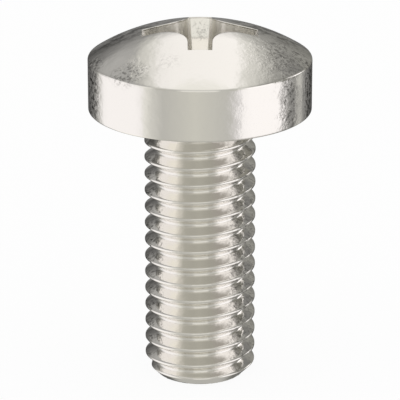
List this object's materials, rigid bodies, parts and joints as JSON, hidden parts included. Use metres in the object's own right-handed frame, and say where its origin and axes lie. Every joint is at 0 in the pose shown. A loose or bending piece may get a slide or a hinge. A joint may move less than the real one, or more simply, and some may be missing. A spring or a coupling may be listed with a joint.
{
  "type": "pan head machine screw",
  "caption": "Pan head machine screw with a domed cylindrical head, a cross recess and a fully threaded shank with a chamfered flat end.",
  "frame": {"origin": "centre of the flat tip, on the surface that the screw stands on", "axes": "+Z along the screw's axis from the tip to the head; +X and +Y along the wings of the cross recess"},
  "size_m": [0.0159, 0.0158, 0.0259],
  "materials": {
    "steel": "bright"
  },
  "bodies": {
    "root": {"screw": "steel"}
  },
  "joints": []
}
